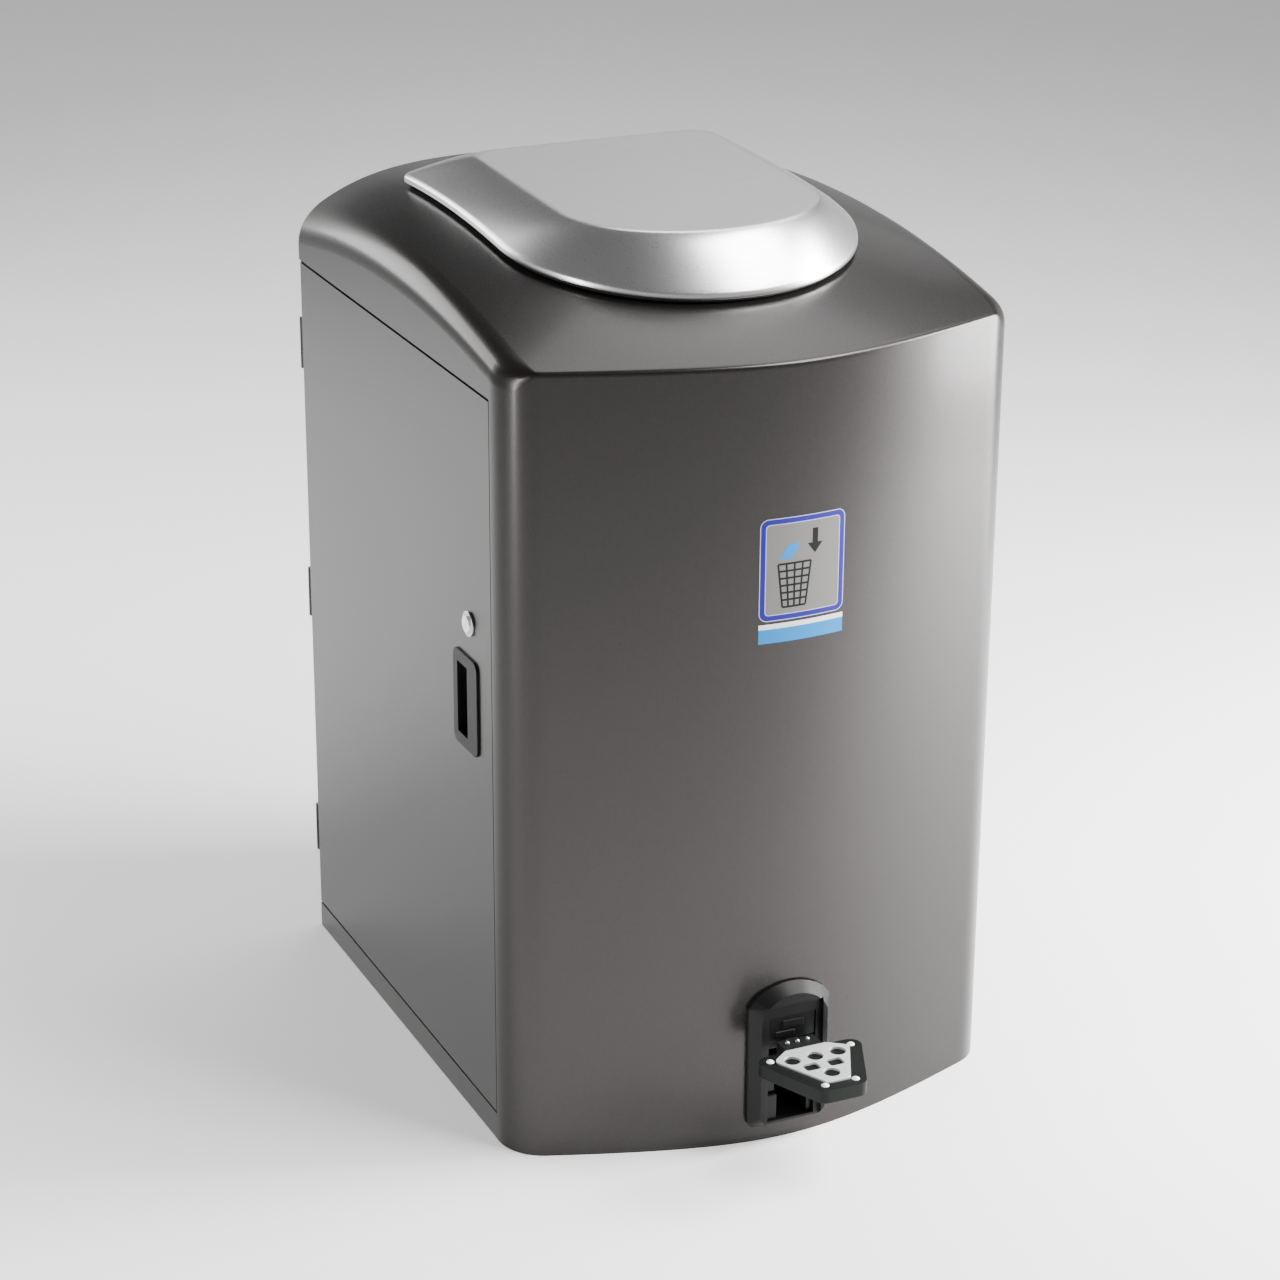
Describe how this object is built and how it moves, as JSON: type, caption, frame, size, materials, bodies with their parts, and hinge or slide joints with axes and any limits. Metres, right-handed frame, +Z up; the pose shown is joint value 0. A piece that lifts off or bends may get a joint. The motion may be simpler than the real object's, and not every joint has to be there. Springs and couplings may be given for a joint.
{
  "type": "pedal waste compactor",
  "caption": "Free-standing pedal-operated waste compactor with bowed steel cabinet, domed top, hinged lid, side door, bin and swing press.",
  "frame": {"origin": "on the floor, in the middle of the cabinet rectangle between its front corners and its rear face", "axes": "+Z up, front towards -Y, +X to the right seen from the front"},
  "size_m": [0.585, 0.8305, 0.9876],
  "materials": {
    "cabinet_paint": "warm grey metallic satin paint",
    "frame_steel": "grey powder coat",
    "lid_steel": "brushed stainless steel",
    "bright_steel": "zinc-plated and plain bright steel",
    "lock_white": "polished nickel",
    "dark_steel": "black enamel",
    "black_plastic": "fine-textured black moulding",
    "pedal_rubber": "moulded black pad",
    "seal_rubber": "soft black gasket",
    "tread_aluminium": "satin aluminium",
    "rivet_white": "white domed cap",
    "bush_bronze": "sintered bronze",
    "bin_plastic": "dark green-grey moulding",
    "label_film": "printed film"
  },
  "bodies": {
    "cabinet": {"base_pan": "cabinet_paint", "door_sill": "cabinet_paint", "front_panel": "cabinet_paint", "right_side_panel": "cabinet_paint", "rear_panel": "cabinet_paint", "top_cover": "cabinet_paint", "front_posts": "frame_steel", "rear_posts": "frame_steel", "upper_frame": "frame_steel", "bin_shelf": "frame_steel", "bin_guides": "black_plastic", "inlet_collar": "black_plastic", "lid_hinge_brackets": "cabinet_paint", "lid_hinge_pins": "bright_steel", "cabinet_hinge_leaves": "cabinet_paint", "door_hinge_pins": "bright_steel", "pedal_surround": "black_plastic", "pedal_pivot_brackets": "frame_steel", "pedal_pivot_pin": "bright_steel", "return_spring": "bright_steel", "spring_anchor": "frame_steel", "press_bearing_brackets": "frame_steel", "press_bushes": "bush_bronze", "waste_bin": "bin_plastic", "bin_handle": "black_plastic", "front_label": "label_film", "panel_screws": "bright_steel"},
    "lid": {"lid_shell": "lid_steel", "lid_inner_pan": "black_plastic", "lid_seal": "seal_rubber", "lid_hinge_arms": "bright_steel"},
    "door": {"door_panel": "cabinet_paint", "door_inner_pan": "frame_steel", "door_hinge_leaves": "cabinet_paint", "door_handle": "black_plastic", "lock_escutcheon": "bright_steel"},
    "lock": {"lock_barrel": "lock_white", "lock_cam": "bright_steel"},
    "pedal": {"pedal_lever": "dark_steel", "pedal_bush": "bush_bronze", "pedal_base": "pedal_rubber", "pedal_tread_plate": "tread_aluminium", "pedal_rivets": "rivet_white", "link_pin": "bright_steel"},
    "rod": {"link_rod": "bright_steel"},
    "press": {"press_shaft": "bright_steel", "press_crank": "dark_steel", "crank_pin": "bright_steel", "press_arms": "dark_steel", "press_plate": "bright_steel", "press_shaft_collars": "dark_steel"}
  },
  "joints": [
    {"name": "lid_hinge", "type": "hinge", "parent": "cabinet", "child": "lid", "pos_m": [0, 0.22, 0.9565], "axis": [-1, 0, 0], "range_deg": [0, 80]},
    {"name": "door_hinge", "type": "hinge", "parent": "cabinet", "child": "door", "pos_m": [-0.286, 0.3095, 0.436], "axis": [0, 0, -1], "range_deg": [0, 100]},
    {"name": "lock_turn", "type": "hinge", "parent": "door", "child": "lock", "pos_m": [-0.29, -0.204, 0.581], "axis": [-1, 0, 0], "range_deg": [0, 90]},
    {"name": "pedal_press", "type": "hinge", "parent": "cabinet", "child": "pedal", "pos_m": [0, 0.035, 0.07], "axis": [1, 0, 0], "range_deg": [0, 9.8], "stiffness_Nm_per_rad": 500, "springref_deg": -5.73, "deforming": ["return_spring"]},
    {"name": "rod_pivot", "type": "hinge", "parent": "pedal", "child": "rod", "pos_m": [0, 0.2836, 0.04869], "axis": [1, 0, 0], "range_deg": [-10, 0]},
    {"name": "press_turn", "type": "hinge", "parent": "cabinet", "child": "press", "pos_m": [0, 0.258, 0.54], "axis": [1, 0, 0], "range_deg": [0, 90]}
  ],
  "couplings": [
    {"joint": "rod_pivot", "follows": "pedal_press", "ratio": -1},
    {"joint": "press_turn", "follows": "pedal_press", "ratio": 9.18}
  ]
}
